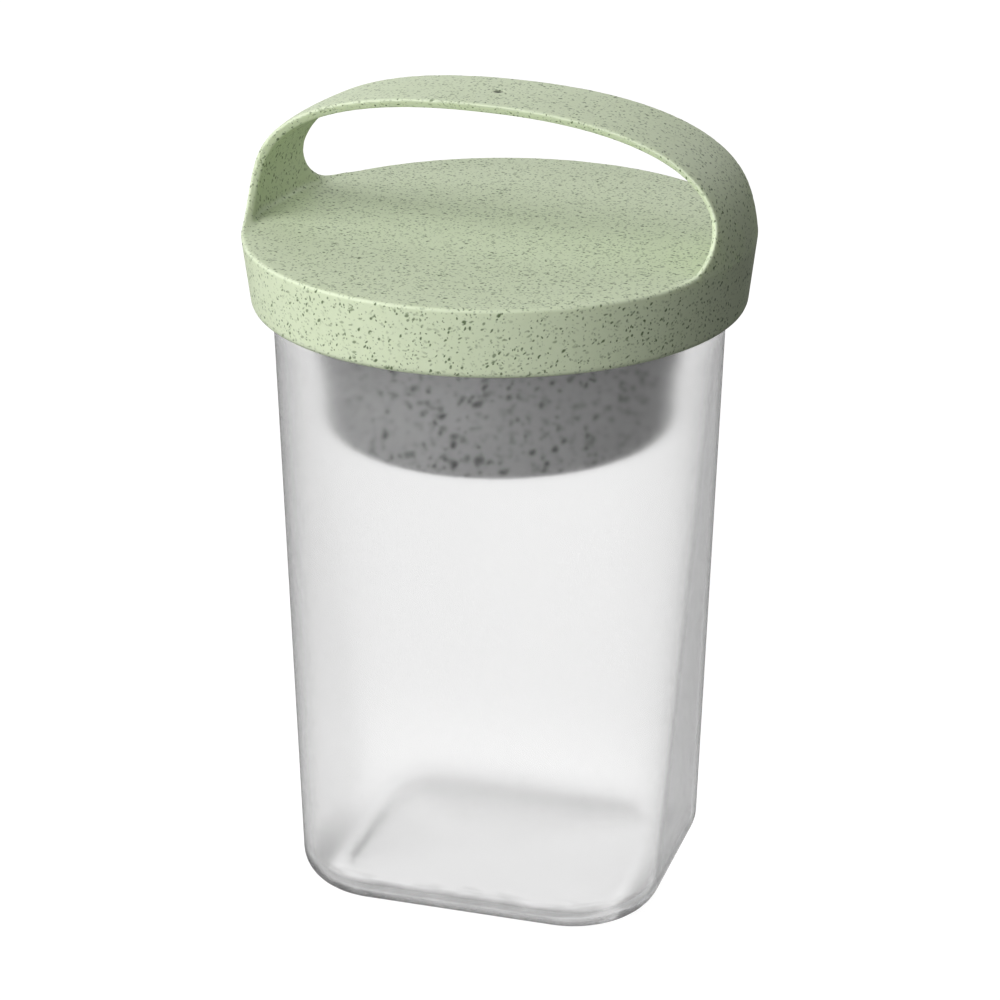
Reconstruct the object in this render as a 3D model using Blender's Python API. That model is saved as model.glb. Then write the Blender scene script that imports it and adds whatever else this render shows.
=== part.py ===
"""A lidded storage jar: a frosted jar that changes from a rounded rectangular foot to a round mouth,
a small cup that hangs in the mouth, and a screw lid moulded in one piece with a wide carry loop.

The origin is on the floor under the middle of the jar, +Z is up, and X runs along the jar's wide face.
"""

import math

import bmesh
import bpy

# Driving dimensions, in metres.
LID_RADIUS = 0.055
LID_TOP = 0.1491  # height of the lid's flat top over the floor
LID_SKIRT = 0.0152  # height of the lid's outer wall
LID_TAPER = 0.0018  # how much narrower the wall is at its lower edge
LID_PLATE = 0.0022
LID_EDGE_ROUNDING = 0.001
LID_LIP_ROUNDING = 0.0012  # lower edge of the lid's outer wall
LID_BORE_CHAMFER = 0.0003
LID_YAW = math.radians(-6.3)  # where the screwed-down lid comes to rest over the jar

LOOP_HEIGHT = 0.0299
LOOP_THICKNESS = 0.0023
LOOP_HALF_WIDTH = 0.0113
LOOP_INNER_REACH = 0.0524  # where the arch's straight inner side meets the lid
FLARE_HEIGHT = 0.0125  # the strap widens over this height down to the rim
FLARE_WIDTH = 0.0130
LOOP_SIDE_POWER = 2.27  # the arch is a superellipse with one power for each of its axes
LOOP_CROWN_POWER = 3.13
LOOP_STATIONS = 18  # cross-sections from a foot to the crown
LOOP_CROWDING = 1.6  # draws the sections towards the foot, where the strap flares
LEG_SHARE = 0.75  # least thickness of a leg, of the strap's thickness
FOOT_ANCHORS = ((0.0070, 0.0022), (0.0012, 0.0002))  # depth and inset of a leg's rings inside the wall

BASE_HALF_X = 0.0411
BASE_HALF_Y = 0.0355
BASE_CORNER = 0.0195
FOOT_FILLET = 0.0062
WALL = 0.002
FLOOR_THICKNESS = 0.0026
FLOOR_FILLET = 0.0045
FOOT_BAND = 0.004  # width of the flat band that the jar stands on
FOOT_RECESS = 0.0008
WALL_STATIONS = (0.35, 0.65)  # shares of the body's height with a ring of their own

BODY_TOP_RADIUS = 0.0488
NECK_RADIUS = 0.0478
NECK_BORE = 0.0458
RIM_Z = 0.1432  # top of the jar's mouth
SHOULDER_Z = 0.1350
SHOULDER_CHAMFER = 0.0006
NECK_CHAMFER = 0.0005  # outer edge of the mouth
MOUTH_CHAMFER = 0.0004  # inner edge of the mouth
BORE_RUN_OUT = 0.001  # the round bore ends this far under the shoulder

GAP = 0.0003  # between pieces that touch

THREAD_STARTS = 4
THREAD_LEAD = 0.018  # rise in one full turn
THREAD_SPAN = math.radians(98)
RIDGE_HALF_ROOT = 0.0009
RIDGE_HALF_CREST = 0.0005
RIDGE_ROOT_DEPTH = 0.0006  # how far a ridge is buried in its wall
JAR_RIDGE_RADIUS = 0.0494
JAR_RIDGE_Z = 0.1368  # middle of a jar ridge at its lower end
LID_BORE = 0.0498
LID_RIDGE_RADIUS = 0.0482
LID_RIDGE_DROP = 0.0021  # a lid ridge runs this far under the jar ridge that holds it
LID_RIDGE_DELAY = math.radians(14)
LID_RIDGE_SHARE = 0.9  # a lid ridge's length, of a jar ridge's
RIDGE_SECTIONS = 24
RIDGE_FADE = 4  # sections over which a ridge rises to full height at either end
RIDGE_END_SHARE = 0.05  # its height at the very end, of full height

CUP_DEPTH = 0.0434  # from the lid's flat top to the underside of the cup
CUP_MOUTH_RADIUS = 0.0397
CUP_BASE_RADIUS = 0.0376
CUP_WALL = 0.0015
CUP_FILLET = 0.003
FLANGE_RADIUS = 0.0474
FLANGE_THICKNESS = 0.0014
LOCATING_RIB_RADIUS = 0.0454
LOCATING_RIB_DEPTH = 0.003
LOCATING_RIB_ROOT = 0.0012  # width of the rib where it leaves the flange
LOCATING_RIB_DRAFT = 0.0002  # how much each side of the rib draws in
FLANGE_CHAMFER = 0.0004
CUP_MOUTH_CHAMFER = 0.0005

SEAL_INNER = 0.0436
SEAL_OUTER = 0.0474
SEAL_THICKNESS = 0.0012
SEAL_CHAMFER = 0.0003
SEAT_RIB_RADIUS = 0.0432  # rib under the lid that keeps the seal round
SEAT_RIB_DEPTH = 0.0016
SEAT_RIB_THICKNESS = 0.001

ARC_STEPS = 16  # facets in a quarter of a round section

CEILING = LID_TOP - LID_PLATE
FLANGE_Z = RIM_Z + GAP


def clear_scene():
    for obj in list(bpy.data.objects):
        bpy.data.objects.remove(obj, do_unlink=True)


def plastic(name, colour, roughness, alpha=1.0):
    material = bpy.data.materials.new(name)
    material.use_nodes = True
    shader = material.node_tree.nodes["Principled BSDF"]
    shader.inputs["Base Color"].default_value = (*colour, 1.0)
    shader.inputs["Roughness"].default_value = roughness
    shader.inputs["Metallic"].default_value = 0.0
    shader.inputs["Alpha"].default_value = alpha
    return material


def finish_object(name, bm, material, location=(0.0, 0.0, 0.0)):
    """Turn the bmesh into an object whose faces point out and whose round sides shade smooth."""
    bmesh.ops.remove_doubles(bm, verts=bm.verts, dist=1e-6)
    bmesh.ops.recalc_face_normals(bm, faces=bm.faces)
    mesh = bpy.data.meshes.new(name)
    bm.to_mesh(mesh)
    bm.free()
    mesh.shade_smooth()
    mesh.set_sharp_from_angle(angle=math.radians(35))
    obj = bpy.data.objects.new(name, mesh)
    obj.location = location
    if material:
        mesh.materials.append(material)
    bpy.context.scene.collection.objects.link(obj)
    return obj


def section(half_x, half_y, corner, z):
    """A rounded rectangle; with all three sizes equal it is a circle.

    Its points are spaced by the direction they face, so that sections of different shape line up.
    """
    points = []
    for quarter in range(4):
        side_x = (1, -1, -1, 1)[quarter]
        side_y = (1, 1, -1, -1)[quarter]
        for step in range(ARC_STEPS + 1):
            angle = math.pi / 2 * (quarter + step / ARC_STEPS)
            x = side_x * (half_x - corner) + corner * math.cos(angle)
            y = side_y * (half_y - corner) + corner * math.sin(angle)
            points.append((x, y, z))
    return points


def circle(radius, z):
    return section(radius, radius, radius, z)


def skin(rings, closed=False):
    """Faces between successive rings, with a flat cap on each end unless the rings close on themselves."""
    bm = bmesh.new()
    loops = [[bm.verts.new(point) for point in ring] for ring in rings]
    count = len(loops[0])
    pairs = list(zip(loops, loops[1:]))
    if closed:
        pairs.append((loops[-1], loops[0]))
    for lower, upper in pairs:
        for i in range(count):
            j = (i + 1) % count
            bm.faces.new((lower[i], lower[j], upper[j], upper[i]))
    if not closed:
        bm.faces.new(list(reversed(loops[0])))
        bm.faces.new(loops[-1])
    return bm


def turned(outline, closed=False):
    """A turned piece from its outline, a list of (radius, height)."""
    return skin([circle(radius, z) for radius, z in outline], closed)


def quarter_round(radius, steps, start, sweep=math.pi / 2):
    """Offsets from the centre of an arc, as (across, up)."""
    angles = [start + sweep * i / steps for i in range(steps + 1)]
    return [(radius * math.cos(angle), radius * math.sin(angle)) for angle in angles]


def ridges(root, crest, first_z, first_angle, span):
    """Helical thread ridges, one for each start, that fade out at both ends."""
    bm = bmesh.new()
    inward = crest < root
    buried = root + (RIDGE_ROOT_DEPTH if inward else -RIDGE_ROOT_DEPTH)
    for start in range(THREAD_STARTS):
        loops = []
        for i in range(RIDGE_SECTIONS + 1):
            share = min(1.0, i / RIDGE_FADE, (RIDGE_SECTIONS - i) / RIDGE_FADE)
            tip = root + (crest - root) * max(share, RIDGE_END_SHARE)
            turn = span * i / RIDGE_SECTIONS
            angle = first_angle + turn + 2 * math.pi * start / THREAD_STARTS
            middle = first_z + THREAD_LEAD * turn / (2 * math.pi)
            corners = (
                (buried, -RIDGE_HALF_ROOT),
                (tip, -RIDGE_HALF_CREST),
                (tip, RIDGE_HALF_CREST),
                (buried, RIDGE_HALF_ROOT),
            )
            loops.append([
                bm.verts.new((r * math.cos(angle), r * math.sin(angle), middle + up))
                for r, up in corners
            ])
        for near, far in zip(loops, loops[1:]):
            for i in range(4):
                j = (i + 1) % 4
                bm.faces.new((near[i], near[j], far[j], far[i]))
        bm.faces.new(loops[0])
        bm.faces.new(loops[-1])
    return bm


def unite(target, name, bm, location=(0.0, 0.0, 0.0)):
    """Fuse a shape into the target, as one moulding."""
    tool = finish_object(name, bm, None, location)
    tool.hide_render = True
    tool.display_type = "WIRE"
    fuse = target.modifiers.new(name, "BOOLEAN")
    fuse.operation = "UNION"
    fuse.object = tool
    return tool


def jar_section(share, z, inset):
    """The jar's outline at a share of the way from its foot to the round shoulder, drawn in by inset."""
    half_x = BASE_HALF_X + (BODY_TOP_RADIUS - BASE_HALF_X) * share
    half_y = BASE_HALF_Y + (BODY_TOP_RADIUS - BASE_HALF_Y) * share
    corner = BASE_CORNER + (BODY_TOP_RADIUS - BASE_CORNER) * share
    return section(half_x - inset, half_y - inset, corner - inset, z)


def make_jar(material):
    body_height = LID_TOP - LID_SKIRT
    rings = [
        jar_section(0, FOOT_RECESS, FOOT_FILLET + FOOT_BAND + FOOT_RECESS),
        jar_section(0, 0, FOOT_FILLET + FOOT_BAND),
    ]
    for across, up in quarter_round(FOOT_FILLET, 5, -math.pi / 2):
        z = FOOT_FILLET + up
        rings.append(jar_section(z / body_height, z, FOOT_FILLET - across))
    for share in (*WALL_STATIONS, 1.0):
        rings.append(jar_section(share, body_height * share, 0))
    rings += [
        circle(BODY_TOP_RADIUS, SHOULDER_Z),
        circle(NECK_RADIUS, SHOULDER_Z + SHOULDER_CHAMFER),
        circle(NECK_RADIUS, RIM_Z - NECK_CHAMFER),
        circle(NECK_RADIUS - NECK_CHAMFER, RIM_Z),
        circle(NECK_BORE + MOUTH_CHAMFER, RIM_Z),
        circle(NECK_BORE, RIM_Z - MOUTH_CHAMFER),
        circle(NECK_BORE, SHOULDER_Z - BORE_RUN_OUT),
    ]
    for share in reversed(WALL_STATIONS):
        rings.append(jar_section(share, body_height * share, WALL))
    for across, up in reversed(quarter_round(FLOOR_FILLET, 4, -math.pi / 2)):
        z = FLOOR_THICKNESS + FLOOR_FILLET + up
        rings.append(jar_section(z / body_height, z, WALL + FLOOR_FILLET - across))
    jar = finish_object("jar", skin(rings), material)
    thread = ridges(NECK_RADIUS, JAR_RIDGE_RADIUS, JAR_RIDGE_Z, 0.0, THREAD_SPAN)
    unite(jar, "jar_thread", thread)
    return jar


def make_cup(material):
    """The cup hangs from a flange on the jar's rim, and a rib under the flange keeps it in the middle."""
    top = FLANGE_Z + FLANGE_THICKNESS
    bottom = LID_TOP - CUP_DEPTH
    slope = (CUP_MOUTH_RADIUS - CUP_BASE_RADIUS) / (top - bottom)

    def wall_radius(z, inset):
        return CUP_BASE_RADIUS + slope * (z - bottom) - inset

    outline = []
    for across, up in quarter_round(CUP_FILLET, 4, -math.pi / 2):
        z = bottom + CUP_FILLET + up
        outline.append((wall_radius(z, CUP_FILLET - across), z))
    rib_inside = LOCATING_RIB_RADIUS - LOCATING_RIB_ROOT
    mouth = wall_radius(top, CUP_WALL)
    outline += [
        (wall_radius(FLANGE_Z, 0), FLANGE_Z),
        (rib_inside, FLANGE_Z),
        (rib_inside + LOCATING_RIB_DRAFT, FLANGE_Z - LOCATING_RIB_DEPTH),
        (LOCATING_RIB_RADIUS - LOCATING_RIB_DRAFT, FLANGE_Z - LOCATING_RIB_DEPTH),
        (LOCATING_RIB_RADIUS, FLANGE_Z),
        (FLANGE_RADIUS, FLANGE_Z),
        (FLANGE_RADIUS, top - FLANGE_CHAMFER),
        (FLANGE_RADIUS - FLANGE_CHAMFER, top),
        (mouth + CUP_MOUTH_CHAMFER, top),
        (mouth, top - CUP_MOUTH_CHAMFER),
    ]
    inner_fillet = CUP_FILLET - CUP_WALL / 2
    for across, up in reversed(quarter_round(inner_fillet, 3, -math.pi / 2)):
        z = bottom + CUP_WALL + inner_fillet + up
        outline.append((wall_radius(z, CUP_WALL + inner_fillet - across), z))
    return finish_object("insert_cup", turned(outline), material)


def make_seal(material):
    top = CEILING - GAP
    bottom = top - SEAL_THICKNESS
    edge = SEAL_CHAMFER
    outline = [
        (SEAL_INNER, bottom + edge),
        (SEAL_INNER + edge, bottom),
        (SEAL_OUTER - edge, bottom),
        (SEAL_OUTER, bottom + edge),
        (SEAL_OUTER, top - edge),
        (SEAL_OUTER - edge, top),
        (SEAL_INNER + edge, top),
        (SEAL_INNER, top - edge),
    ]
    return finish_object("lid_seal", turned(outline, closed=True), material)


def loop_half_width(height):
    """Half the strap's width at a height over the rim: a quarter ellipse flares it out to the rim."""
    rise = min(max(1 - height / FLARE_HEIGHT, 0.0), 1.0)
    return LOOP_HALF_WIDTH + FLARE_WIDTH * (1 - math.sqrt(1 - rise * rise))


def arch(reach, height, angle):
    """A point on the arch, from +X (angle 0) over the crown to -X (angle pi)."""
    side = math.copysign(abs(math.cos(angle)) ** (2 / LOOP_SIDE_POWER), math.cos(angle))
    return reach * side, height * math.sin(angle) ** (2 / LOOP_CROWN_POWER)


def loop_ring(angle, across=4):
    """One cross-section of the strap: its outer side is round like the lid, its inner side is straight."""
    out_x, out_z = arch(LID_RADIUS, LOOP_HEIGHT, angle)
    in_x, in_z = arch(LOOP_INNER_REACH, LOOP_HEIGHT - LOOP_THICKNESS, angle)
    outer, inner = [], []
    for i in range(across + 1):
        share = 2 * i / across - 1
        y = share * loop_half_width(out_z)
        bow = math.sqrt(1 - (y / LID_RADIUS) ** 2)
        outer.append((out_x * bow, y, out_z))
        y = share * loop_half_width(in_z)
        bow = math.sqrt(1 - (y / LID_RADIUS) ** 2)
        limit = max(abs(out_x) * bow - LEG_SHARE * LOOP_THICKNESS * abs(math.cos(angle)), 0)
        inner.append((math.copysign(min(abs(in_x), limit), in_x), y, in_z))
    return outer + list(reversed(inner))


def foot_ring(angle, depth, inset):
    """The strap's section at rim level, moved down into the lid's wall and drawn in by inset."""
    ring = []
    for x, y, _ in loop_ring(angle):
        reach = math.hypot(x, y)
        scale = (reach - inset) / reach
        ring.append((x * scale, y * scale, -depth))
    return ring


def make_loop():
    """The carry loop, with both ends running down into the lid's wall."""
    shares = [(i / LOOP_STATIONS) ** LOOP_CROWDING for i in range(LOOP_STATIONS + 1)]
    climb = [math.pi / 2 * share for share in shares]
    angles = climb + [math.pi - angle for angle in reversed(climb[:-1])]
    rings = [foot_ring(0.0, depth, inset) for depth, inset in FOOT_ANCHORS]
    rings += [loop_ring(angle) for angle in angles]
    rings += [foot_ring(math.pi, depth, inset) for depth, inset in reversed(FOOT_ANCHORS)]
    return skin(rings)


def make_lid(material):
    """The lid's shell, its thread and its carry loop, all one moulding. Heights are from its flat top."""
    outline = []
    edge_middle = LID_RADIUS - LID_EDGE_ROUNDING
    for across, up in reversed(quarter_round(LID_EDGE_ROUNDING, 3, 0.0)):
        outline.append((edge_middle + across, up - LID_EDGE_ROUNDING))
    lip_middle = LID_RADIUS - LID_TAPER - LID_LIP_ROUNDING
    for across, up in reversed(quarter_round(LID_LIP_ROUNDING, 4, -math.pi / 2)):
        outline.append((lip_middle + across, up + LID_LIP_ROUNDING - LID_SKIRT))
    rib_inside = SEAT_RIB_RADIUS - SEAT_RIB_THICKNESS
    rib_low = -LID_PLATE - SEAT_RIB_DEPTH
    outline += [
        (LID_BORE + LID_BORE_CHAMFER, -LID_SKIRT),
        (LID_BORE, LID_BORE_CHAMFER - LID_SKIRT),
        (LID_BORE, -LID_PLATE),
        (SEAT_RIB_RADIUS, -LID_PLATE),
        (SEAT_RIB_RADIUS, rib_low),
        (rib_inside, rib_low),
        (rib_inside, -LID_PLATE),
    ]
    place = (0.0, 0.0, LID_TOP)
    lid = finish_object("lid", turned(outline), material, place)
    tools = [unite(lid, "lid_loop", make_loop(), place)]
    first_z = JAR_RIDGE_Z - LID_TOP - LID_RIDGE_DROP
    first_z += THREAD_LEAD * LID_RIDGE_DELAY / (2 * math.pi)
    span = THREAD_SPAN * LID_RIDGE_SHARE
    thread = ridges(LID_BORE, LID_RIDGE_RADIUS, first_z, LID_RIDGE_DELAY - LID_YAW, span)
    tools.append(unite(lid, "lid_thread", thread, place))
    for obj in [lid] + tools:
        obj.rotation_euler = (0.0, 0.0, LID_YAW)
    return lid


def main():
    clear_scene()
    frosted = plastic("frosted_plastic", (0.86, 0.87, 0.87), 0.45, alpha=0.4)
    green = plastic("sage_green_plastic", (0.56, 0.63, 0.47), 0.55)
    grey = plastic("grey_plastic", (0.27, 0.27, 0.27), 0.5)
    silicone = plastic("clear_silicone", (0.8, 0.8, 0.78), 0.5)
    make_jar(frosted)
    make_cup(grey)
    make_seal(silicone)
    make_lid(green)


main()
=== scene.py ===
"""The looks of the lidded jar: fine meshes for its four mouldings, their plastics, and a pale studio.

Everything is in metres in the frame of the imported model: the origin is on the floor under the jar, +Z is up
and X runs along the jar's wide face.
"""

import math

import bmesh
import bpy
import numpy as np
from mathutils import Matrix, Vector


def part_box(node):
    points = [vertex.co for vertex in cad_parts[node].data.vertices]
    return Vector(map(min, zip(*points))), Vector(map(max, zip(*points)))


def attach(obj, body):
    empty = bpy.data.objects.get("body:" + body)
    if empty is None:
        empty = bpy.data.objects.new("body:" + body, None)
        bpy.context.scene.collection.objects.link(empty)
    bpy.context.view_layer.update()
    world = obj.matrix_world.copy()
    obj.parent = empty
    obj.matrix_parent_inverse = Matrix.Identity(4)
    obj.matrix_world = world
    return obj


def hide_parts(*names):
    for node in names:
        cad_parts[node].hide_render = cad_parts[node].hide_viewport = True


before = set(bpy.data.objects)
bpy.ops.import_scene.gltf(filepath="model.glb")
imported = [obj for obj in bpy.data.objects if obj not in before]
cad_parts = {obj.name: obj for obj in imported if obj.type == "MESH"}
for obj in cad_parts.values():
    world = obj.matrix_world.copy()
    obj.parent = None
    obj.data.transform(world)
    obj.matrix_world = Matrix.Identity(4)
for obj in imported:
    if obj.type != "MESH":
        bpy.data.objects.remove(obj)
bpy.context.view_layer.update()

MM = 0.001
GRAIN_RELIEF = 0.05 * MM

# The frame's own sizes.
LID_LOW, LID_HIGH = (Vector(corner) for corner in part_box("lid"))
JAR_HIGH = Vector(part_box("jar")[1])
CUP_LOW, CUP_HIGH = (Vector(corner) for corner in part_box("insert_cup"))
SEAL_LOW, SEAL_HIGH = (Vector(corner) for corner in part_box("lid_seal"))

# Lid and loop, as in the model.
LID_RADIUS = LID_HIGH.x
LID_SKIRT = 15.2 * MM
LID_TOP = LID_LOW.z + LID_SKIRT
LID_TAPER = 1.8 * MM
LID_PLATE = 2.2 * MM
LID_YAW = math.radians(-6.3)
LOOP_HEIGHT = LID_HIGH.z - LID_TOP
LOOP_THICKNESS = 2.3 * MM
LOOP_HALF_WIDTH = 11.3 * MM
LOOP_INNER_REACH = 52.4 * MM
FLARE_HEIGHT = 12.5 * MM
FLARE_WIDTH = 13.0 * MM
LOOP_SIDE_POWER = 2.27
LOOP_CROWN_POWER = 3.13
LEG_SHARE = 0.75
GATE_RADIUS = 1.0 * MM
GATE_RISE = 0.2 * MM
GATE_ROUNDING = 0.3 * MM
LID_BORE = 49.8 * MM
STRAP_EDGE_SLOPE = math.radians(40)
STRAP_ROUNDING = 0.5 * MM
FOOT_BLEND = 1.6 * MM
RIM_ROUNDING = 0.8 * MM
SKIRT_ROUNDING = 1.6 * MM
CEILING_ROUNDING = 0.8 * MM
RIB_ROUNDING = 0.4 * MM
BORE_ROUNDING = 0.5 * MM
SEAT_RIB_RADIUS = 43.2 * MM
SEAT_RIB_DEPTH = 1.6 * MM
SEAT_RIB_THICKNESS = 1 * MM
GRID_STEP = 0.69 * MM
GRID_STEP_UP = 0.6 * MM
GRID_STEP_RIM = 0.35 * MM
GRID_RIM_REACH = 1.2 * MM
GRID_MARGIN = 1.5 * MM

# Screw thread, on the neck and in the lid.
THREAD_STARTS = 4
THREAD_LEAD = 18 * MM
THREAD_SPAN = math.radians(98)
RIDGE_HALF_ROOT = 0.9 * MM
RIDGE_HALF_CREST = 0.5 * MM
RIDGE_ROOT_DEPTH = 0.6 * MM
JAR_RIDGE_RADIUS = 49.4 * MM
JAR_RIDGE_Z = 136.8 * MM
LID_RIDGE_RADIUS = 48.2 * MM
LID_RIDGE_DROP = 2.1 * MM
LID_RIDGE_DELAY = math.radians(14)
LID_RIDGE_SHARE = 0.9
RIDGE_FADE = math.radians(14)

# Jar.
BASE_HALF_X = 41.1 * MM
BASE_HALF_Y = 35.5 * MM
BASE_CORNER = 19.5 * MM
FOOT_FILLET = 6.2 * MM
FOOT_BAND = 4 * MM
FOOT_RECESS = 0.8 * MM
WALL = 2 * MM
FLOOR_THICKNESS = 2.6 * MM
FLOOR_FILLET = 4.5 * MM
BODY_TOP_RADIUS = 48.8 * MM
NECK_RADIUS = 47.8 * MM
NECK_BORE = 45.8 * MM
SHOULDER_Z = 135.0 * MM
RIM_Z = JAR_HIGH.z
WALL_RINGS = 20
NECK_RINGS = 32
RECESS_SIDE = ((1.0, 1.2 * MM), (0.8, 0.5 * MM), (0.0, 0.0))  # share of the depth, distance in from the band
SHOULDER_ROUNDING = 0.5 * MM
SHOULDER_RUN_IN = 0.2 * MM
NECK_START = 0.6 * MM
THREAD_START = 0.65 * MM
NECK_ROUNDING = 0.6 * MM
MOUTH_ROUNDING = 0.5 * MM
BORE_RUN_OUT = 3 * MM

# Insert cup.
CUP_MOUTH_RADIUS = 39.7 * MM
CUP_BASE_RADIUS = 37.6 * MM
CUP_WALL = 1.5 * MM
CUP_FILLET = 3 * MM
FLANGE_THICKNESS = 1.4 * MM
CUP_MOUTH_ROUNDING = 0.7 * MM
CUP_RINGS_OUTSIDE = 7
CUP_RINGS_INSIDE = 6
CUP_RUN_IN = 1.5 * MM
FLANGE_ROOT = 0.8 * MM
FLANGE_ROUNDING = 0.4 * MM
LOCATING_RIB_RADIUS = 45.4 * MM
LOCATING_RIB_DEPTH = 3 * MM
LOCATING_RIB_CORNER = 0.3 * MM

# Seal.
SEAL_BORE = 43.6 * MM
SEAL_ROUNDING = 0.3 * MM
SEAL_BEAD = 0.15 * MM
SEAL_BEAD_HALF_WIDTH = 0.8 * MM
SEAL_LOW_EDGE = 0.45 * MM


# ---------------------------------------------------------------- camera, lights and floor

LIGHT_AIM = 0.12
LIGHT_DISTANCE = 1.4
LIGHT_SIZE = 1.2
WORLD_LIGHT = 0.09
WORLD_LOOK = 0.94
FLOOR_LOOK = 0.95
FLOOR_GLOW = 0.12
GLOW_MIDDLE = (-8 * MM, 40 * MM, 0.0)
GLOW_REACH = (60 * MM, 30 * MM, 1.0)


def make_camera():
    """A long lens a little above the lid, turned towards the jar's right-hand edge."""
    heading = math.radians(17.43)
    pitch = math.radians(22.11)
    roll = math.radians(-0.28)
    data = bpy.data.cameras.new("camera")
    data.sensor_width = 36
    data.lens = 113.6
    camera = bpy.data.objects.new("camera", data)
    turn = Matrix.Rotation(heading, 4, "Z") @ Matrix.Rotation(math.pi / 2 - pitch, 4, "X")
    place = Matrix.Translation((0.1931, -0.6156, LID_TOP + 0.1995))
    camera.matrix_world = place @ turn @ Matrix.Rotation(roll, 4, "Z")
    bpy.context.scene.collection.objects.link(camera)
    bpy.context.scene.camera = camera


def soft_light(name, bearing, elevation, power):
    """A square soft box. Its bearing is in degrees from the front, to the right, and it aims at the jar."""
    aim = Vector((0, 0, LIGHT_AIM))
    tilt = Matrix.Rotation(-math.radians(elevation), 3, "X")
    turn = Matrix.Rotation(math.radians(bearing), 3, "Z")
    direction = turn @ tilt @ Vector((0, -1, 0))
    data = bpy.data.lights.new(name, "AREA")
    data.shape = "SQUARE"
    data.size = LIGHT_SIZE
    data.energy = power
    light = bpy.data.objects.new(name, data)
    light.location = aim + LIGHT_DISTANCE * direction
    light.rotation_euler = (-direction).to_track_quat("-Z", "Y").to_euler()
    light.visible_camera = False
    bpy.context.scene.collection.objects.link(light)


def pale_world():
    """A surround that looks white, also through the jar, and lights the pieces only faintly."""
    world = bpy.data.worlds.new("studio")
    world.use_nodes = True
    nodes, links = world.node_tree.nodes, world.node_tree.links
    background = nodes["Background"]
    background.inputs["Color"].default_value = (1.0, 1.0, 1.0, 1.0)
    path = nodes.new("ShaderNodeLightPath")
    seen = nodes.new("ShaderNodeMath")
    seen.operation = "MAXIMUM"
    links.new(path.outputs["Is Camera Ray"], seen.inputs[0])
    through = nodes.new("ShaderNodeMath")
    through.operation = "GREATER_THAN"
    links.new(path.outputs["Is Transmission Ray"], through.inputs[0])
    links.new(path.outputs["Diffuse Depth"], through.inputs[1])
    links.new(through.outputs[0], seen.inputs[1])
    strength = nodes.new("ShaderNodeMath")
    strength.operation = "MULTIPLY_ADD"
    links.new(seen.outputs[0], strength.inputs[0])
    strength.inputs[1].default_value = WORLD_LOOK - WORLD_LIGHT
    strength.inputs[2].default_value = WORLD_LIGHT
    links.new(strength.outputs[0], background.inputs["Strength"])
    return world


def lit_floor():
    """A white floor that glows a little more just behind the jar."""
    nodes = Nodes("pale_floor")
    away = nodes.vector("SUBTRACT", nodes.place, GLOW_MIDDLE)
    away = nodes.vector("DIVIDE", away, GLOW_REACH)
    away = nodes.vector("LENGTH", away, out="Value")
    fall = nodes.math("EXPONENT", nodes.math("MULTIPLY", nodes.math("MULTIPLY", away, away), -1.0))
    nodes.feed(
        nodes.shader,
        Base_Color=(0.15, 0.15, 0.15, 1.0),
        Roughness=0.9,
        Specular_IOR_Level=0.0,
        Emission_Color=(1.0, 1.0, 1.0, 1.0),
        Emission_Strength=nodes.math("ADD", nodes.math("MULTIPLY", fall, FLOOR_GLOW), FLOOR_LOOK),
    )
    return nodes.material


def make_studio():
    soft_light("front_light", bearing=-16, elevation=12, power=21.3)
    soft_light("side_light", bearing=-75, elevation=38, power=13.5)
    soft_light("back_light", bearing=150, elevation=40, power=6)
    soft_light("grazing_light", bearing=-150, elevation=20, power=3)
    bpy.context.scene.world = pale_world()
    bpy.context.scene.view_settings.view_transform = "Standard"

    bpy.ops.mesh.primitive_plane_add(size=12, location=(0, 0, 0))
    floor = bpy.context.active_object
    floor.name = "floor"
    floor.data.materials.append(lit_floor())
    floor.visible_diffuse = False
    floor.visible_glossy = False


# ---------------------------------------------------------------- mesh helpers


def piece_from_mesh(name, mesh, material, body, node):
    mesh.shade_smooth()
    mesh.materials.append(material)
    piece = bpy.data.objects.new(name, mesh)
    bpy.context.scene.collection.objects.link(piece)
    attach(piece, body)
    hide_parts(node)
    return piece


def section(half_x, half_y, corner, z, arc_steps=32):
    """A rounded rectangle, or a circle where its three sizes are equal, with points spaced by direction."""
    points = []
    for quarter in range(4):
        side_x = (1, -1, -1, 1)[quarter]
        side_y = (1, 1, -1, -1)[quarter]
        for step in range(arc_steps + 1):
            angle = math.pi / 2 * (quarter + step / arc_steps)
            x = side_x * (half_x - corner) + corner * math.cos(angle)
            y = side_y * (half_y - corner) + corner * math.sin(angle)
            points.append((x, y, z))
    return points


def ring(radius, z, count=144):
    turns = [2 * math.pi * i / count for i in range(count)]
    return [(radius * math.cos(turn), radius * math.sin(turn), z) for turn in turns]


def arc(radius, steps, start, sweep=math.pi / 2):
    """Offsets from an arc's centre, as (across, up)."""
    angles = [start + sweep * i / steps for i in range(steps + 1)]
    return [(radius * math.cos(angle), radius * math.sin(angle)) for angle in angles]


def skin(name, rings, closed=False):
    """A mesh through successive rings. Open ends are closed by a flat cap of rings down to its middle."""
    bm = bmesh.new()
    loops = [[bm.verts.new(point) for point in points] for points in rings]
    count = len(loops[0])
    pairs = list(zip(loops, loops[1:]))
    if closed:
        pairs.append((loops[-1], loops[0]))
    for lower, upper in pairs:
        for i in range(count):
            j = (i + 1) % count
            bm.faces.new((lower[i], lower[j], upper[j], upper[i]))
    if not closed:
        for loop in (loops[0], loops[-1]):
            middle = bm.verts.new(sum((vert.co for vert in loop), Vector()) / count)
            for i in range(count):
                bm.faces.new((loop[i], loop[(i + 1) % count], middle))
    bmesh.ops.remove_doubles(bm, verts=bm.verts, dist=1e-6)
    bmesh.ops.recalc_face_normals(bm, faces=bm.faces)
    mesh = bpy.data.meshes.new(name)
    bm.to_mesh(mesh)
    bm.free()
    return mesh


# ---------------------------------------------------------------- jar


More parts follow.
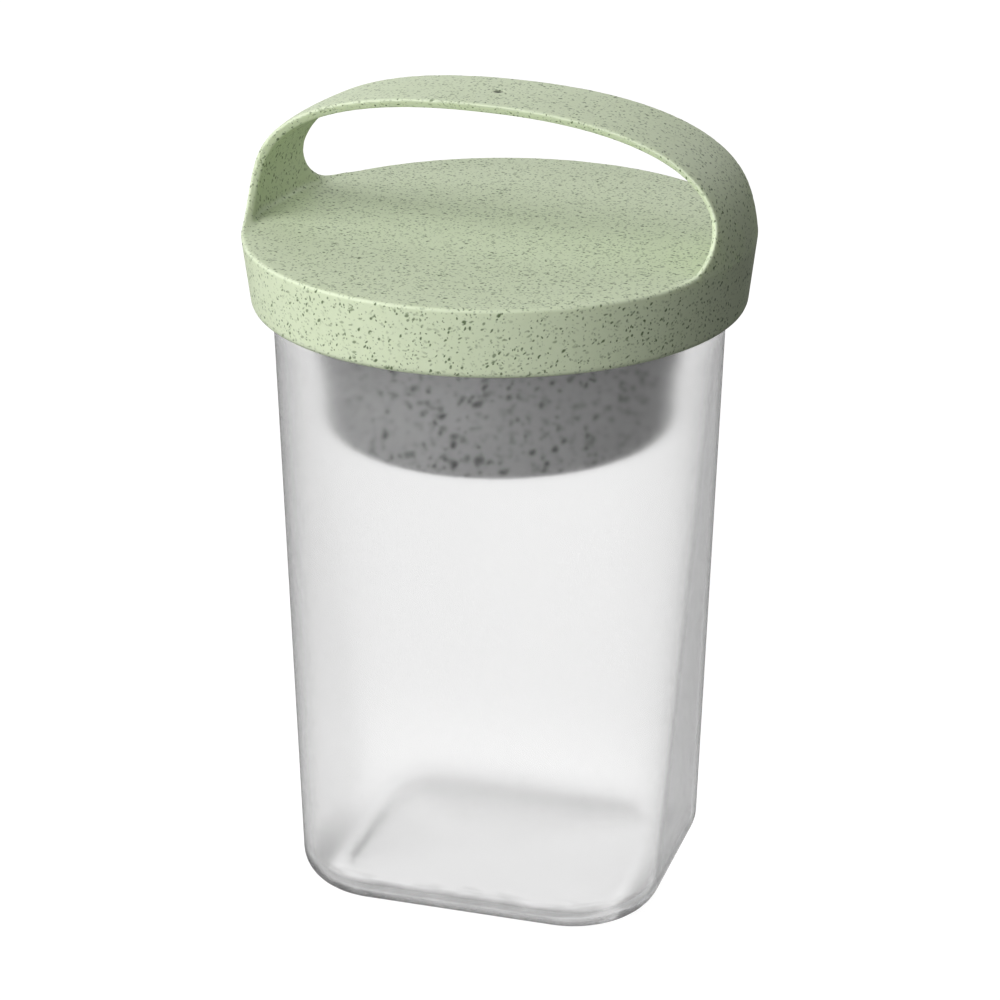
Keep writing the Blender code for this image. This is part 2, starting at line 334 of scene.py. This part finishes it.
def thread_height(angle, z, first_angle, first_z, span):
    """Share of the full ridge height at a point on a threaded wall: 0 between ridges and 1 on a crest."""
    height = 0.0
    for start in range(THREAD_STARTS):
        turn = (angle - first_angle - 2 * math.pi * start / THREAD_STARTS) % (2 * math.pi)
        if turn > span:
            continue
        middle = first_z + THREAD_LEAD * turn / (2 * math.pi)
        flank = (RIDGE_HALF_ROOT - abs(z - middle)) / (RIDGE_HALF_ROOT - RIDGE_HALF_CREST)
        ends = min(turn, span - turn) / RIDGE_FADE
        height = max(height, min(max(flank, 0.0), 1.0) * min(ends, 1.0))
    return height


def threaded_ring(z):
    points = []
    for x, y, _ in section(NECK_RADIUS, NECK_RADIUS, NECK_RADIUS, z):
        share = thread_height(math.atan2(y, x), z, 0.0, JAR_RIDGE_Z, THREAD_SPAN)
        scale = 1 + share * (JAR_RIDGE_RADIUS / NECK_RADIUS - 1)
        points.append((x * scale, y * scale, z))
    return points


def body_ring(z, inset):
    """The body's outline at a height: it goes evenly from the rounded rectangle to a circle."""
    share = z / LID_LOW.z
    half_x = BASE_HALF_X + (BODY_TOP_RADIUS - BASE_HALF_X) * share
    half_y = BASE_HALF_Y + (BODY_TOP_RADIUS - BASE_HALF_Y) * share
    corner = BASE_CORNER + (BODY_TOP_RADIUS - BASE_CORNER) * share
    return section(half_x - inset, half_y - inset, corner - inset, z)


def round_ring(radius, z):
    return section(radius, radius, radius, z)


def make_jar(material):
    band = FOOT_FILLET + FOOT_BAND
    rings = [body_ring(FOOT_RECESS * depth, band + inset) for depth, inset in RECESS_SIDE]
    for across, up in arc(FOOT_FILLET, 10, -math.pi / 2):
        rings.append(body_ring(FOOT_FILLET + up, FOOT_FILLET - across))
    low, high = FOOT_FILLET, LID_LOW.z
    for i in range(1, WALL_RINGS + 1):
        rings.append(body_ring(low + (high - low) * i / WALL_RINGS, 0))
    rings.append(round_ring(BODY_TOP_RADIUS, SHOULDER_Z - SHOULDER_RUN_IN))
    for across, up in arc(SHOULDER_ROUNDING, 4, 0.0):
        rings.append(round_ring(BODY_TOP_RADIUS - SHOULDER_ROUNDING + across, SHOULDER_Z + up))
    rings.append(round_ring(NECK_RADIUS, SHOULDER_Z + NECK_START))
    neck_low, neck_high = SHOULDER_Z + THREAD_START, RIM_Z - NECK_ROUNDING
    for i in range(NECK_RINGS + 1):
        rings.append(threaded_ring(neck_low + (neck_high - neck_low) * i / NECK_RINGS))
    for across, up in arc(NECK_ROUNDING, 4, 0.0)[1:]:
        rings.append(round_ring(NECK_RADIUS - NECK_ROUNDING + across, RIM_Z - NECK_ROUNDING + up))
    for across, up in arc(MOUTH_ROUNDING, 4, math.pi / 2):
        rings.append(round_ring(NECK_BORE + MOUTH_ROUNDING + across, RIM_Z - MOUTH_ROUNDING + up))
    rings.append(round_ring(NECK_BORE, SHOULDER_Z))
    low, high = FLOOR_THICKNESS + FLOOR_FILLET, SHOULDER_Z - BORE_RUN_OUT
    for i in range(WALL_RINGS, -1, -1):
        rings.append(body_ring(low + (high - low) * i / WALL_RINGS, WALL))
    for across, up in reversed(arc(FLOOR_FILLET, 8, -math.pi / 2)[:-1]):
        z = FLOOR_THICKNESS + FLOOR_FILLET + up
        rings.append(body_ring(z, WALL + FLOOR_FILLET - across))
    mesh = skin("frosted_jar", rings)
    return piece_from_mesh("frosted_jar", mesh, material, "jar_body", "jar")


# ---------------------------------------------------------------- cup and seal


def make_cup(material):
    flange_low, flange_high = CUP_HIGH.z - FLANGE_THICKNESS, CUP_HIGH.z
    bottom = CUP_LOW.z
    flange_radius = CUP_HIGH.x
    slope = (CUP_MOUTH_RADIUS - CUP_BASE_RADIUS) / (flange_high - bottom)

    def wall(z, inset):
        return CUP_BASE_RADIUS + slope * (z - bottom) - inset

    outline = []
    for across, up in arc(CUP_FILLET, 10, -math.pi / 2):
        z = bottom + CUP_FILLET + up
        outline.append((wall(z, CUP_FILLET - across), z))
    for i in range(1, CUP_RINGS_OUTSIDE + 1):
        z = bottom + CUP_FILLET + (flange_low - FLANGE_ROOT - bottom - CUP_FILLET) * i / CUP_RINGS_OUTSIDE
        outline.append((wall(z, 0), z))
    for across, up in arc(FLANGE_ROOT, 4, math.pi, -math.pi / 2):
        outline.append((wall(flange_low, 0) + FLANGE_ROOT + across, flange_low - FLANGE_ROOT + up))
    rib = LOCATING_RIB_RADIUS
    outline += [
        (rib - 1.25 * MM, flange_low),
        (rib - 1.2 * MM, flange_low - 0.2 * MM),
        (rib - 1.0 * MM, flange_low - LOCATING_RIB_DEPTH + LOCATING_RIB_CORNER),
        (rib - 0.8 * MM, flange_low - LOCATING_RIB_DEPTH),
        (rib - 0.4 * MM, flange_low - LOCATING_RIB_DEPTH),
        (rib - 0.2 * MM, flange_low - LOCATING_RIB_DEPTH + LOCATING_RIB_CORNER),
        (rib, flange_low - 0.1 * MM),
        (rib + 0.1 * MM, flange_low),
        (flange_radius - 0.3 * MM, flange_low),
    ]
    for across, up in arc(FLANGE_ROUNDING, 4, 0.0):
        outline.append((flange_radius - FLANGE_ROUNDING + across, flange_high - FLANGE_ROUNDING + up))
    mouth = wall(flange_high, CUP_WALL)
    for across, up in arc(CUP_MOUTH_ROUNDING, 5, math.pi / 2):
        outline.append((mouth + CUP_MOUTH_ROUNDING + across, flange_high - CUP_MOUTH_ROUNDING + up))
    inner_fillet = CUP_FILLET - CUP_WALL / 2
    low = bottom + CUP_WALL + inner_fillet
    for i in range(CUP_RINGS_INSIDE, 0, -1):
        z = low + (flange_high - CUP_RUN_IN - low) * i / CUP_RINGS_INSIDE
        outline.append((wall(z, CUP_WALL), z))
    for across, up in reversed(arc(inner_fillet, 8, -math.pi / 2)):
        z = low + up
        outline.append((wall(z, CUP_WALL + inner_fillet - across), z))
    mesh = skin("grey_cup", [ring(radius, z) for radius, z in outline])
    return piece_from_mesh("grey_cup", mesh, material, "cup", "insert_cup")


def make_seal(material):
    """A flat ring with a shallow bead round its lower side, where it presses on the flange."""
    low, high = SEAL_LOW.z, SEAL_HIGH.z
    outer = SEAL_HIGH.x
    inner = SEAL_BORE
    middle = (outer + inner) / 2
    edge = SEAL_ROUNDING
    outline = []
    for across, up in arc(edge, 3, math.pi / 2, -math.pi / 2):
        outline.append((outer - edge + across, high - edge + up))
    for across, up in arc(edge, 3, 0.0, -math.pi / 2):
        outline.append((outer - edge + across, low + SEAL_LOW_EDGE + up))
    for i in range(9):
        share = i / 4 - 1
        bead = SEAL_BEAD * math.cos(share * math.pi / 2)
        outline.append((middle - share * SEAL_BEAD_HALF_WIDTH, low + SEAL_BEAD - bead))
    for across, up in arc(edge, 3, -math.pi / 2, -math.pi / 2):
        outline.append((inner + edge + across, low + SEAL_LOW_EDGE + up))
    for across, up in arc(edge, 3, math.pi, -math.pi / 2):
        outline.append((inner + edge + across, high - edge + up))
    mesh = skin("silicone_seal", [ring(radius, z) for radius, z in outline], closed=True)
    return piece_from_mesh("silicone_seal", mesh, material, "seal", "lid_seal")


# ---------------------------------------------------------------- lid, as a field, negative in the plastic


def blend_min(a, b, width):
    share = np.clip(0.5 + 0.5 * (b - a) / width, 0.0, 1.0)
    return b * (1 - share) + a * share - width * share * (1 - share)


def blend_max(a, b, width):
    return -blend_min(-a, -b, width)


def arch_distance(x, z, reach, height, steep_y=0.0):
    """Roughly the distance to the superellipse arch over the rim, negative under it."""
    across = np.abs(x) / reach
    up = np.maximum(z, 0.0) / height
    total = across**LOOP_SIDE_POWER + up**LOOP_CROWN_POWER + 1e-9
    level = total ** (1 / LOOP_SIDE_POWER)
    shrink = level / total
    steep_x = shrink * across ** (LOOP_SIDE_POWER - 1) / reach
    steep_z = shrink * up ** (LOOP_CROWN_POWER - 1) / height * LOOP_CROWN_POWER / LOOP_SIDE_POWER
    steep = np.sqrt(steep_x**2 * (1 + steep_y**2) + steep_z**2)
    return (level - 1) / np.maximum(steep, 12.0)


def lid_field(points):
    """Heights are from the lid's flat top, and x runs along the loop."""
    x, y, z = points[:, 0], points[:, 1], points[:, 2]
    radius = np.hypot(x, y)
    slope = LID_TAPER / LID_SKIRT
    wall = (radius - (LID_RADIUS + slope * z)) / math.hypot(1, slope)
    strap_y = np.minimum(np.abs(y), LOOP_HALF_WIDTH + FLARE_WIDTH) / LID_RADIUS
    bow = np.sqrt(1 - strap_y**2)
    dome = arch_distance(x, z, LID_RADIUS * bow, LOOP_HEIGHT, strap_y / bow)
    over_strap = (z > 0) & (np.abs(y) < LOOP_HALF_WIDTH + FLARE_WIDTH)
    envelope = np.where(over_strap, dome, wall)

    flare_y = np.clip((LOOP_HALF_WIDTH + FLARE_WIDTH - np.abs(y)) / FLARE_WIDTH, 0, None)
    flare_z = np.clip((FLARE_HEIGHT - z) / FLARE_HEIGHT, 0, None)
    side = (1 - np.hypot(flare_y, flare_z)) * FLARE_WIDTH
    side = side * math.cos(STRAP_EDGE_SLOPE) - dome * math.sin(STRAP_EDGE_SLOPE)
    hollow = arch_distance(x, z, LOOP_INNER_REACH, LOOP_HEIGHT - LOOP_THICKNESS)
    hollow = blend_max(hollow, dome + LEG_SHARE * LOOP_THICKNESS, STRAP_ROUNDING)
    strap = blend_max(side, -hollow, STRAP_ROUNDING)
    core = blend_min(z, strap, FOOT_BLEND)
    solid = blend_max(core, envelope, RIM_ROUNDING)
    solid = blend_max(solid, -LID_SKIRT - z, SKIRT_ROUNDING)

    pit = np.sqrt(radius**2 + (z - LOOP_HEIGHT - GATE_RISE) ** 2) - GATE_RADIUS
    solid = blend_max(solid, -pit, GATE_ROUNDING)

    bore = blend_max(radius - LID_BORE, z + LID_PLATE, CEILING_ROUNDING)
    rib = np.abs(radius - SEAT_RIB_RADIUS + SEAT_RIB_THICKNESS / 2) - SEAT_RIB_THICKNESS / 2
    rib = np.maximum(rib, -(z + LID_PLATE + SEAT_RIB_DEPTH))
    bore = blend_max(bore, -rib, RIB_ROUNDING)
    bore = blend_max(bore, -lid_thread(x, y, z, radius), RIB_ROUNDING)
    return blend_max(solid, -bore, BORE_ROUNDING)


def lid_thread(x, y, z, radius):
    """Distance to the ridges inside the lid, which reach in from its bore."""
    angle = np.arctan2(y, x)
    span = THREAD_SPAN * LID_RIDGE_SHARE
    first_z = JAR_RIDGE_Z - LID_TOP - LID_RIDGE_DROP + THREAD_LEAD * LID_RIDGE_DELAY / (2 * math.pi)
    root = LID_BORE + RIDGE_ROOT_DEPTH
    depth = (root - radius) / (root - LID_RIDGE_RADIUS)
    half = RIDGE_HALF_ROOT + (RIDGE_HALF_CREST - RIDGE_HALF_ROOT) * np.clip(depth, 0, 1)
    nearest = np.full_like(x, 1.0)
    for start in range(THREAD_STARTS):
        turn = angle - (LID_RIDGE_DELAY - LID_YAW) - 2 * math.pi * start / THREAD_STARTS
        turn = np.mod(turn + math.pi / 2, 2 * math.pi) - math.pi / 2
        ends = np.clip(np.minimum(turn, span - turn) / RIDGE_FADE, 0, 1)
        crest = LID_BORE + (LID_RIDGE_RADIUS - LID_BORE) * ends
        across = np.abs(z - first_z - THREAD_LEAD * turn / (2 * math.pi)) - half
        outside = np.maximum(-turn, turn - span) * LID_BORE
        ridge = np.maximum(np.maximum(across, crest - radius), outside)
        nearest = np.minimum(nearest, ridge)
    return nearest


def heights(low, high, step, rim_step, rim_reach):
    """Grid heights from low to high: a step apart, and closer together about the rim at 0."""
    places = [low]
    while places[-1] < high:
        at_rim = -rim_reach - step < places[-1] < rim_reach
        places.append(places[-1] + (rim_step if at_rim else step))
    return np.array(places)


def surface_net(field, axes):
    """Quads on the field's zero surface: one point in each grid cell that the surface crosses."""
    shape = tuple(len(axis) for axis in axes)
    grid = np.stack(np.meshgrid(*axes, indexing="ij"), axis=-1).reshape(-1, 3)
    values = field(grid).reshape(shape)
    cells = tuple(n - 1 for n in shape)
    total = np.zeros(cells + (3,))
    crossings = np.zeros(cells)
    corners = [(i, j, k) for i in (0, 1) for j in (0, 1) for k in (0, 1)]

    def corner_values(corner):
        return values[tuple(slice(c, c + n) for c, n in zip(corner, cells))]

    for start in corners:
        for axis in range(3):
            if start[axis]:
                continue
            end = tuple(c + (i == axis) for i, c in enumerate(start))
            a, b = corner_values(start), corner_values(end)
            crossed = (a < 0) != (b < 0)
            share = np.where(crossed, a / np.where(crossed, a - b, 1.0), 0.0)
            for i in range(3):
                total[..., i] += crossed * (start[i] + (share if i == axis else 0.0))
            crossings += crossed
    used = crossings > 0
    index = np.full(cells, -1, dtype=np.int64)
    index[used] = np.arange(used.sum())
    where = np.argwhere(used)
    inside = total[used] / crossings[used][:, None]
    places = []
    for i, axis in enumerate(axes):
        cell = where[:, i]
        places.append(axis[cell] + np.diff(axis)[cell] * inside[:, i])
    points = np.stack(places, axis=1)

    quads = []
    for axis in range(3):
        one, two = (axis + 1) % 3, (axis + 2) % 3
        crossed = (values < 0) != (np.roll(values, -1, axis=axis) < 0)
        edges = np.argwhere(crossed)
        kept = (edges < np.array(cells)).all(axis=1) & (edges[:, one] > 0) & (edges[:, two] > 0)
        edges = edges[kept]
        step_one, step_two = np.eye(3, dtype=int)[[one, two]]
        around = [edges, edges - step_one, edges - step_one - step_two, edges - step_two]
        quad = np.stack([index[tuple(cell.T)] for cell in around], axis=1)
        facing_down = values[tuple(edges.T)] >= 0
        quad[facing_down] = quad[facing_down][:, ::-1]
        quads.append(quad)
    return points, np.concatenate(quads)


def gradient(field, points, step=2e-5):
    slopes = []
    for axis in range(3):
        offset = np.zeros(3)
        offset[axis] = step
        slopes.append((field(points + offset) - field(points - offset)) / (2 * step))
    return np.stack(slopes, axis=1)


def onto_surface(field, points, farthest=0.3 * MM):
    """The points moved onto the field's zero surface, and the surface's direction at each."""
    slope = gradient(field, points)
    steep = np.maximum(np.linalg.norm(slope, axis=1), 0.3)
    normal = slope / steep[:, None]
    shift = np.clip(field(points) / steep, -farthest, farthest)
    return points - normal * shift[:, None], normal


def settle(field, points, quads, rounds=2):
    """Even out the quads along the surface, and put each point exactly on it."""
    for _ in range(rounds):
        points, normal = onto_surface(field, points)
        total = np.zeros_like(points)
        count = np.zeros(len(points))
        for i in range(4):
            near = quads[:, (i + 1) % 4]
            far = quads[:, (i + 3) % 4]
            np.add.at(total, quads[:, i], points[near] + points[far])
            np.add.at(count, quads[:, i], 2)
        pull = total / count[:, None] - points
        pull -= normal * (pull * normal).sum(axis=1)[:, None]
        points = points + 0.25 * pull
    return onto_surface(field, points)[0]


def make_lid(material):
    reach = LID_RADIUS + GRID_MARGIN
    low, high = -LID_SKIRT - GRID_MARGIN, LOOP_HEIGHT + GRID_MARGIN
    across = np.arange(-reach, reach + GRID_STEP, GRID_STEP)
    up = heights(low, high, GRID_STEP_UP, GRID_STEP_RIM, GRID_RIM_REACH)
    axes = (across, across, up)
    points, quads = surface_net(lid_field, axes)
    points = settle(lid_field, points, quads)
    slope = gradient(lid_field, points)
    normals = slope / np.linalg.norm(slope, axis=1)[:, None]
    turn = np.array(Matrix.Rotation(LID_YAW, 3, "Z"))
    points = points @ turn.T + np.array((0, 0, LID_TOP))
    mesh = bpy.data.meshes.new("green_lid")
    mesh.from_pydata(points.tolist(), [], quads.tolist())
    mesh.update()
    piece = piece_from_mesh("green_lid", mesh, material, "lid_body", "lid")
    mesh.normals_split_custom_set_from_vertices((normals @ turn.T).tolist())
    return piece


# ---------------------------------------------------------------- materials

FLECK_WANDER = 0.5
FLECK_SMALLEST = 0.5
FLECK_SIZE_RANGE = 0.8
FLECK_EDGE = 2.2
FLECK_FAINTEST = 0.2
LAYER_SHIFTS = (0.0, 0.13, 0.29, 0.47)
LAYER_SHRINK = 0.12
PIT_SHADE_EDGE = 2.4


class Nodes:
    """A shorthand for building one material's node tree."""

    def __init__(self, name):
        self.material = bpy.data.materials.new(name)
        self.material.use_nodes = True
        self.tree = self.material.node_tree
        self.shader = self.tree.nodes["Principled BSDF"]
        self.place = self.add("ShaderNodeTexCoord").outputs["Object"]

    def add(self, kind, **settings):
        node = self.tree.nodes.new(kind)
        for key, value in settings.items():
            setattr(node, key, value)
        return node

    def feed(self, node, **inputs):
        for key, value in inputs.items():
            numbered = key[0] == "n" and key[1:].isdigit()
            socket = node.inputs[int(key[1:]) if numbered else key.replace("_", " ")]
            if isinstance(value, bpy.types.NodeSocket):
                self.tree.links.new(value, socket)
            else:
                socket.default_value = value
        return node

    def math(self, operation, a, b=None, clamp=False):
        node = self.add("ShaderNodeMath", operation=operation, use_clamp=clamp)
        self.feed(node, n0=a)
        if b is not None:
            self.feed(node, n1=b)
        return node.outputs[0]

    def vector(self, operation, a, b=None, out="Vector"):
        node = self.add("ShaderNodeVectorMath", operation=operation)
        self.feed(node, n0=a)
        if b is not None:
            self.feed(node, n1=b)
        return node.outputs[out]

    def noise(self, scale, detail=2.0, out="Fac"):
        node = self.add("ShaderNodeTexNoise")
        self.feed(node, Vector=self.place, Scale=scale, Detail=detail)
        return node.outputs[out]

    def mix(self, share, a, b):
        node = self.add("ShaderNodeMix", data_type="RGBA")
        self.feed(node, n0=share, n6=a, n7=b)
        return node.outputs[2]

    def flecks(self, spacing, length, width, amount, shift):
        """Short fibres lying every way, one in a cell: their darkness, and 0 between them."""
        wander = self.add("ShaderNodeTexNoise")
        self.feed(wander, Vector=self.place, Scale=1 / spacing, Detail=1.0)
        wander = self.vector("SCALE", wander.outputs["Color"])
        wander.node.inputs["Scale"].default_value = FLECK_WANDER * spacing
        moved = self.vector("ADD", self.vector("ADD", self.place, wander), (shift, 0.7 * shift, 1.3 * shift))
        cells = self.add("ShaderNodeTexVoronoi", feature="F1")
        self.feed(cells, Vector=moved, Scale=1 / spacing)
        away = self.vector("SUBTRACT", moved, cells.outputs["Position"])
        along = self.vector("NORMALIZE", self.vector("SUBTRACT", cells.outputs["Color"], (0.5, 0.5, 0.5)))
        run = self.math("ABSOLUTE", self.vector("DOT_PRODUCT", away, along, "Value"))
        run = self.math("POWER", run, 2.0)
        across = self.math("SUBTRACT", self.vector("DOT_PRODUCT", away, away, "Value"), run)
        spread = self.math("ADD", self.math("DIVIDE", run, length**2), self.math("DIVIDE", across, width**2))
        choice = self.add("ShaderNodeSeparateColor")
        self.feed(choice, Color=cells.outputs["Color"])
        size = self.math("ADD", self.math("MULTIPLY", choice.outputs[0], FLECK_SIZE_RANGE), FLECK_SMALLEST)
        spread = self.math("DIVIDE", self.math("SQRT", spread), size)
        inside = self.math("SUBTRACT", FLECK_EDGE, self.math("MULTIPLY", spread, FLECK_EDGE), clamp=True)
        chosen = self.math("LESS_THAN", choice.outputs[1], amount)
        dark = self.math("ADD", self.math("POWER", choice.outputs[2], 2.0), FLECK_FAINTEST, clamp=True)
        return self.math("MULTIPLY", self.math("MULTIPLY", inside, chosen), dark)

    def bump(self, height, depth, distance):
        node = self.add("ShaderNodeBump")
        self.feed(node, Height=height, Strength=depth, Distance=distance)
        self.feed(self.shader, Normal=node.outputs[0])


def speckled_plastic(name, pale, deep, fleck, grain, plump, amount, glow=0.0, gate=None):
    """Moulded plastic with dark fibres, a grain apart, and a painted shade in the pit at its gate, if that
    shows.

    The fibres' width is a plump share of their length. The plastic's glow is how much of the light passes
    some way through it.
    """
    nodes = Nodes(name)
    cloud = nodes.math("MULTIPLY", nodes.math("ADD", nodes.noise(90, 3.0), nodes.noise(1 / grain, 2.0)), 0.5)
    colour = nodes.mix(cloud, pale, deep)
    for layer, shift in enumerate(LAYER_SHIFTS):
        size = grain * (1 - LAYER_SHRINK * layer)
        dark = nodes.flecks(size, 0.5 * size, 0.5 * plump * size, amount, shift)
        colour = nodes.mix(dark, colour, fleck)
    if gate:
        # Painted shade: near-black colour in the pit at the gate, where shade falls.
        away = nodes.vector("MULTIPLY", nodes.vector("SUBTRACT", nodes.place, gate), (1.0, 1.0, 0.4))
        away = nodes.vector("LENGTH", away, out="Value")
        painted_pit_shade = nodes.math("SUBTRACT", PIT_SHADE_EDGE, nodes.math("DIVIDE", away, GATE_RADIUS / 2), clamp=True)
        colour = nodes.mix(painted_pit_shade, colour, (0.02, 0.03, 0.02, 1.0))
    nodes.feed(
        nodes.shader,
        Base_Color=colour,
        Roughness=0.55,
        Subsurface_Weight=glow,
        Subsurface_Scale=3 * MM,
        Subsurface_Radius=(1.0, 1.0, 0.8),
    )
    nodes.bump(nodes.noise(2200, 2.0), 0.25, GRAIN_RELIEF)
    return nodes.material


def frosted_plastic():
    """Clear plastic with a fine matt face, and a painted shade, greyer and streaky, at the front of its foot.
    """
    nodes = Nodes("frosted_plastic")
    where = nodes.add("ShaderNodeSeparateXYZ")
    nodes.feed(where, Vector=nodes.place)
    # Painted shade at the foot: only near the outline, and not on the flat underside.
    beyond_x = nodes.math("SUBTRACT", nodes.math("ABSOLUTE", where.outputs[0]), BASE_HALF_X)
    beyond_y = nodes.math("SUBTRACT", nodes.math("ABSOLUTE", where.outputs[1]), BASE_HALF_Y)
    outward = nodes.math("ADD", nodes.math("MAXIMUM", beyond_x, beyond_y), 8 * MM)
    outward = nodes.math("DIVIDE", outward, 3 * MM, clamp=True)
    # Fading out towards the back.
    front = nodes.math("SUBTRACT", 10 * MM, where.outputs[1])
    front = nodes.math("DIVIDE", front, 30 * MM, clamp=True)
    # Full up to an uneven height of 2 to 6 mm, and gone at twice that.
    streaks = nodes.add("ShaderNodeTexNoise")
    level = nodes.vector("MULTIPLY", nodes.place, (0.2, 0.2, 1.0))
    nodes.feed(streaks, Vector=level, Scale=700, Detail=2.0)
    top = nodes.math("ADD", nodes.math("MULTIPLY", streaks.outputs["Fac"], 4 * MM), 2 * MM)
    low = nodes.math("SUBTRACT", 2.0, nodes.math("DIVIDE", where.outputs[2], top), clamp=True)
    # Painted shade: grey mixed into the clear plastic at the front of the foot, fading towards the back.
    painted_foot_shade = nodes.math("MULTIPLY", nodes.math("MULTIPLY", low, outward), front)
    colour = nodes.mix(painted_foot_shade, (0.92, 0.92, 0.92, 1.0), (0.45, 0.45, 0.45, 1.0))
    nodes.feed(
        nodes.shader,
        Base_Color=colour,
        Roughness=0.25,
        IOR=1.25,
        Transmission_Weight=1.0,
    )
    nodes.bump(nodes.noise(1500, 2.0), 0.15, GRAIN_RELIEF)
    inside = nodes.add("ShaderNodeVolumeAbsorption")
    nodes.feed(inside, Color=(0.0, 0.0, 0.0, 1.0), Density=12.0)
    output = nodes.tree.nodes["Material Output"]
    nodes.tree.links.new(inside.outputs["Volume"], output.inputs["Volume"])
    return nodes.material


def silicone():
    nodes = Nodes("silicone")
    colour = nodes.mix(nodes.noise(200, 2.0), (0.72, 0.72, 0.70, 1.0), (0.80, 0.80, 0.78, 1.0))
    nodes.feed(nodes.shader, Base_Color=colour, Roughness=0.45)
    nodes.bump(nodes.noise(900, 2.0), 0.1, GRAIN_RELIEF)
    return nodes.material


make_camera()
make_studio()
make_jar(frosted_plastic())
make_cup(speckled_plastic(
    "grey_plastic",
    pale=(0.32, 0.32, 0.32, 1.0),
    deep=(0.21, 0.21, 0.21, 1.0),
    fleck=(0.03, 0.03, 0.03, 1.0),
    grain=2.6 * MM,
    plump=0.6,
    amount=0.9,
))
make_seal(silicone())
make_lid(speckled_plastic(
    "green_plastic",
    pale=(0.69, 0.77, 0.56, 1.0),
    deep=(0.59, 0.67, 0.47, 1.0),
    fleck=(0.12, 0.17, 0.08, 1.0),
    grain=1.4 * MM,
    plump=0.45,
    amount=0.85,
    glow=0.2,
    gate=(0, 0, LID_HIGH.z),
))
